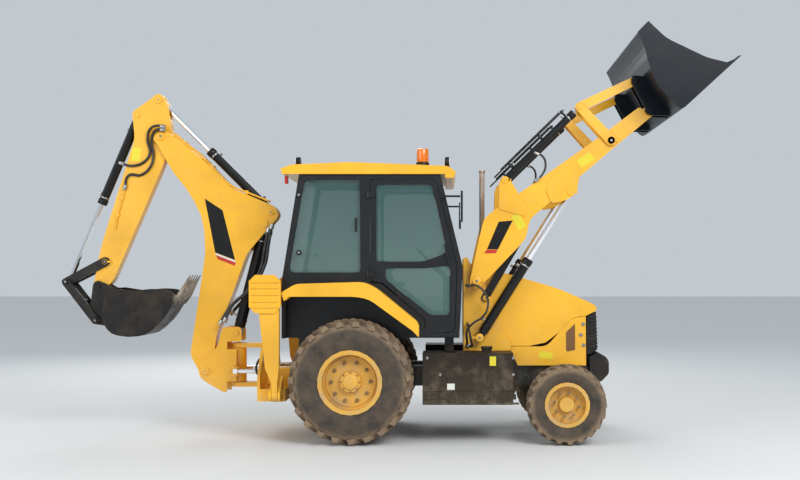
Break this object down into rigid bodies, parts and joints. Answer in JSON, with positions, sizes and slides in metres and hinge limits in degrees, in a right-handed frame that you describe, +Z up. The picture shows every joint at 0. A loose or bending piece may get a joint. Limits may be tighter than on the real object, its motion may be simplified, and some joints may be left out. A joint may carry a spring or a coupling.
{
  "type": "backhoe loader",
  "caption": "Wheeled tractor with a front loader bucket on lifting arms, a glazed cab and a folding digging arm with a toothed bucket at the back, all on real joints.",
  "frame": {"origin": "on the floor under the middle of the bounding box", "axes": "+X forward towards the loader, +Y to the machine's left, +Z up"},
  "size_m": [7.3348, 2.3, 4.384],
  "materials": {
    "yellow_paint": "gloss",
    "black_paint": "satin",
    "bucket_paint": "worn satin",
    "earth_steel": "dusty",
    "rim_paint": "dusty",
    "tyre_rubber": "dusty",
    "rod_chrome": "polished",
    "cab_trim": "satin",
    "tinted_glass": "tinted",
    "seat_cover": "matt",
    "engine_iron": "matt",
    "exhaust_steel": "heat-stained"
  },
  "bodies": {
    "machine": {"chassis_frame": "black_paint", "engine_block": "engine_iron", "front_grille": "black_paint", "front_bumper": "black_paint", "engine_cowl": "yellow_paint", "fuel_tank": "earth_steel", "battery_box": "earth_steel", "front_axle": "black_paint", "rear_axle": "black_paint", "cab_frame": "cab_trim", "cab_roof": "yellow_paint", "cab_glazing": "tinted_glass", "fender_right": "yellow_paint", "fender_left": "yellow_paint", "seat": "seat_cover", "exhaust_stack": "exhaust_steel"},
    "door_right": {"door_right": "cab_trim"},
    "door_left": {"door_left": "cab_trim"},
    "bonnet": {"hood": "yellow_paint"},
    "knuckle_right": {"steering_knuckle_right": "black_paint"},
    "knuckle_left": {"steering_knuckle_left": "black_paint"},
    "front_wheel_right": {"front_rim_right": "rim_paint", "front_tyre_right": "tyre_rubber"},
    "front_wheel_left": {"front_rim_left": "rim_paint", "front_tyre_left": "tyre_rubber"},
    "rear_wheel_right": {"rear_rim_right": "rim_paint", "rear_tyre_right": "tyre_rubber"},
    "rear_wheel_left": {"rear_rim_left": "rim_paint", "rear_tyre_left": "tyre_rubber"},
    "arms": {"loader_arms": "yellow_paint"},
    "bucket": {"loader_bucket": "bucket_paint"},
    "bellcranks": {"tilt_levers": "yellow_paint"},
    "links": {"tilt_link_right": "yellow_paint", "tilt_link_left": "yellow_paint"},
    "tilt_barrels": {"tilt_barrel_right": "black_paint", "tilt_barrel_left": "black_paint"},
    "tilt_rods": {"tilt_rod_right": "rod_chrome", "tilt_rod_left": "rod_chrome"},
    "lift_barrels": {"lift_barrel_right": "black_paint", "lift_barrel_left": "black_paint"},
    "lift_rods": {"lift_rod_right": "rod_chrome", "lift_rod_left": "rod_chrome"},
    "levelling_links": {"levelling_link_right": "yellow_paint", "levelling_link_left": "yellow_paint"},
    "post": {"swing_post": "yellow_paint"},
    "boom": {"boom": "yellow_paint", "dipper_barrel": "black_paint"},
    "dipper": {"dipper": "yellow_paint"},
    "digging_bucket": {"hoe_bucket": "earth_steel"},
    "boom_barrel": {"boom_barrel": "black_paint"},
    "boom_rod": {"boom_rod": "rod_chrome"},
    "dipper_rod": {"dipper_rod": "rod_chrome"},
    "bucket_barrel": {"bucket_barrel": "black_paint"},
    "bucket_rod": {"bucket_rod": "rod_chrome"},
    "knee_lever": {"hoe_lever": "yellow_paint"},
    "knee_link": {"hoe_link": "yellow_paint"},
    "swing_rod_right": {"swing_rod_right": "rod_chrome"},
    "swing_rod_left": {"swing_rod_left": "rod_chrome"},
    "stabilizer_right": {"stabilizer_right": "yellow_paint"},
    "stabilizer_left": {"stabilizer_left": "yellow_paint"}
  },
  "joints": [
    {"name": "steer_right", "type": "hinge", "parent": "machine", "child": "knuckle_right", "pos_m": [1.89437, -0.8, 0.421], "axis": [0, 0, 1], "range_deg": [-38, 38]},
    {"name": "steer_left", "type": "hinge", "parent": "machine", "child": "knuckle_left", "pos_m": [1.89437, 0.8, 0.421], "axis": [0, 0, 1], "range_deg": [-38.5, 38.5]},
    {"name": "front_wheel_spin_right", "type": "hinge", "parent": "knuckle_right", "child": "front_wheel_right", "pos_m": [1.89437, -0.905, 0.421], "axis": [0, 1, 0], "continuous": true},
    {"name": "rear_wheel_spin_right", "type": "hinge", "parent": "machine", "child": "rear_wheel_right", "pos_m": [-0.36263, -0.8525, 0.657], "axis": [0, 1, 0], "continuous": true},
    {"name": "door_right_hinge", "type": "hinge", "parent": "machine", "child": "door_right", "pos_m": [-0.19063, -0.822, 1.9], "axis": [0, 0, -1], "range_deg": [0, 75]},
    {"name": "stabilizer_right_hinge", "type": "hinge", "parent": "machine", "child": "stabilizer_right", "pos_m": [-1.16263, -0.9, 0.5], "axis": [-1, 0, 0], "range_deg": [-110, 0]},
    {"name": "front_wheel_spin_left", "type": "hinge", "parent": "knuckle_left", "child": "front_wheel_left", "pos_m": [1.89437, 0.905, 0.421], "axis": [0, 1, 0], "continuous": true},
    {"name": "rear_wheel_spin_left", "type": "hinge", "parent": "machine", "child": "rear_wheel_left", "pos_m": [-0.36263, 0.8525, 0.657], "axis": [0, 1, 0], "continuous": true},
    {"name": "door_left_hinge", "type": "hinge", "parent": "machine", "child": "door_left", "pos_m": [-0.19063, 0.822, 1.9], "axis": [0, 0, 1], "range_deg": [0, 75]},
    {"name": "stabilizer_left_hinge", "type": "hinge", "parent": "machine", "child": "stabilizer_left", "pos_m": [-1.16263, 0.9, 0.5], "axis": [1, 0, 0], "range_deg": [-110, 0]},
    {"name": "bonnet_hinge", "type": "hinge", "parent": "machine", "child": "bonnet", "pos_m": [1.08237, 0, 1.83], "axis": [0, -1, 0], "range_deg": [0, 45]},
    {"name": "loader_lift", "type": "hinge", "parent": "machine", "child": "arms", "pos_m": [0.96137, 0, 1.71], "axis": [0, -1, 0], "range_deg": [-78, 0]},
    {"name": "lift_barrel_swing", "type": "hinge", "parent": "machine", "child": "lift_barrels", "pos_m": [0.99337, 0, 1.102], "axis": [0, -1, 0], "range_deg": [-68, 0]},
    {"name": "lift_rod_slide", "type": "slide", "parent": "lift_barrels", "child": "lift_rods", "axis": [0.5324, 0, 0.8465], "range_m": [-0.725, 0]},
    {"name": "levelling_link_swing", "type": "hinge", "parent": "machine", "child": "levelling_links", "pos_m": [1.05737, 0, 1.528], "axis": [0, -1, 0], "range_deg": [-82, 0]},
    {"name": "loader_tilt", "type": "hinge", "parent": "arms", "child": "bucket", "pos_m": [2.81637, 0, 3.54], "axis": [0, 1, 0], "range_deg": [0, 87]},
    {"name": "bellcrank_swing", "type": "hinge", "parent": "arms", "child": "bellcranks", "pos_m": [2.39737, 0, 3.211], "axis": [0, 1, 0], "range_deg": [0, 51]},
    {"name": "tilt_link_swing", "type": "hinge", "parent": "bellcranks", "child": "links", "pos_m": [2.06237, 0, 3.571], "axis": [0, 1, 0], "range_deg": [-27, 0]},
    {"name": "tilt_barrel_swing", "type": "hinge", "parent": "arms", "child": "tilt_barrels", "pos_m": [1.26137, 0, 2.79], "axis": [0, 1, 0], "range_deg": [0, 8]},
    {"name": "tilt_rod_slide", "type": "slide", "parent": "tilt_barrels", "child": "tilt_rods", "axis": [0.716, 0, 0.6981], "range_m": [0, 0.39]},
    {"name": "swing", "type": "hinge", "parent": "machine", "child": "post", "pos_m": [-1.70263, 0, 0.765], "axis": [0, 0, 1], "range_deg": [-90, 90]},
    {"name": "swing_rod_right_slide", "type": "slide", "parent": "machine", "child": "swing_rod_right", "axis": [1, 0, 0], "range_m": [-0.235, 0.235]},
    {"name": "swing_rod_left_slide", "type": "slide", "parent": "machine", "child": "swing_rod_left", "axis": [1, 0, 0], "range_m": [-0.235, 0.235]},
    {"name": "boom_lower", "type": "hinge", "parent": "post", "child": "boom", "pos_m": [-2.05463, 0, 0.7], "axis": [0, -1, 0], "range_deg": [0, 110]},
    {"name": "boom_barrel_swing", "type": "hinge", "parent": "post", "child": "boom_barrel", "pos_m": [-1.71363, 0, 1.125], "axis": [0, -1, 0], "range_deg": [0, 116]},
    {"name": "boom_rod_slide", "type": "slide", "parent": "boom_barrel", "child": "boom_rod", "axis": [0.2461, 0, 0.9693], "range_m": [0, 0.89]},
    {"name": "dipper_out", "type": "hinge", "parent": "boom", "child": "dipper", "pos_m": [-2.55863, 0, 3.326], "axis": [0, 1, 0], "range_deg": [0, 100]},
    {"name": "dipper_rod_slide", "type": "slide", "parent": "boom", "child": "dipper_rod", "axis": [-0.7071, 0, 0.7071], "range_m": [-0.64, 0]},
    {"name": "digging_bucket_open", "type": "hinge", "parent": "dipper", "child": "digging_bucket", "pos_m": [-3.26763, 0, 1.649], "axis": [0, 1, 0], "range_deg": [0, 133]},
    {"name": "knee_lever_swing", "type": "hinge", "parent": "dipper", "child": "knee_lever", "pos_m": [-3.19063, 0, 1.922], "axis": [0, 1, 0], "range_deg": [0, 110]},
    {"name": "knee_link_swing", "type": "hinge", "parent": "knee_lever", "child": "knee_link", "pos_m": [-3.62363, 0, 1.697], "axis": [0, 1, 0], "range_deg": [-43, 0]},
    {"name": "bucket_barrel_swing", "type": "hinge", "parent": "dipper", "child": "bucket_barrel", "pos_m": [-2.83263, 0, 3.566], "axis": [0, 1, 0], "range_deg": [-3, 0]},
    {"name": "bucket_rod_slide", "type": "slide", "parent": "bucket_barrel", "child": "bucket_rod", "axis": [-0.3898, 0, -0.9209], "range_m": [-0.795, 0]}
  ],
  "couplings": [
    {"joint": "steer_left", "follows": "steer_right", "ratio": 1},
    {"joint": "lift_barrel_swing", "follows": "loader_lift", "ratio": 0.8626},
    {"joint": "lift_rod_slide", "follows": "loader_lift", "m_per_rad": 0.5272},
    {"joint": "levelling_link_swing", "follows": "loader_lift", "ratio": 1.0455},
    {"joint": "bellcrank_swing", "follows": "loader_tilt", "ratio": 0.58046},
    {"joint": "tilt_link_swing", "follows": "loader_tilt", "ratio": -0.3046},
    {"joint": "tilt_barrel_swing", "follows": "loader_tilt", "ratio": 0.08276},
    {"joint": "tilt_rod_slide", "follows": "loader_tilt", "m_per_rad": 0.25487},
    {"joint": "swing_rod_right_slide", "follows": "swing", "m_per_rad": 0.14642},
    {"joint": "swing_rod_left_slide", "follows": "swing", "m_per_rad": -0.14642},
    {"joint": "boom_barrel_swing", "follows": "boom_lower", "ratio": 1.0395},
    {"joint": "boom_rod_slide", "follows": "boom_lower", "m_per_rad": 0.4604},
    {"joint": "dipper_rod_slide", "follows": "dipper_out", "m_per_rad": -0.3649},
    {"joint": "knee_lever_swing", "follows": "digging_bucket_open", "ratio": 0.8188},
    {"joint": "knee_link_swing", "follows": "digging_bucket_open", "ratio": -0.31504},
    {"joint": "bucket_barrel_swing", "follows": "digging_bucket_open", "ratio": -0.01955},
    {"joint": "bucket_rod_slide", "follows": "digging_bucket_open", "m_per_rad": -0.34033}
  ]
}
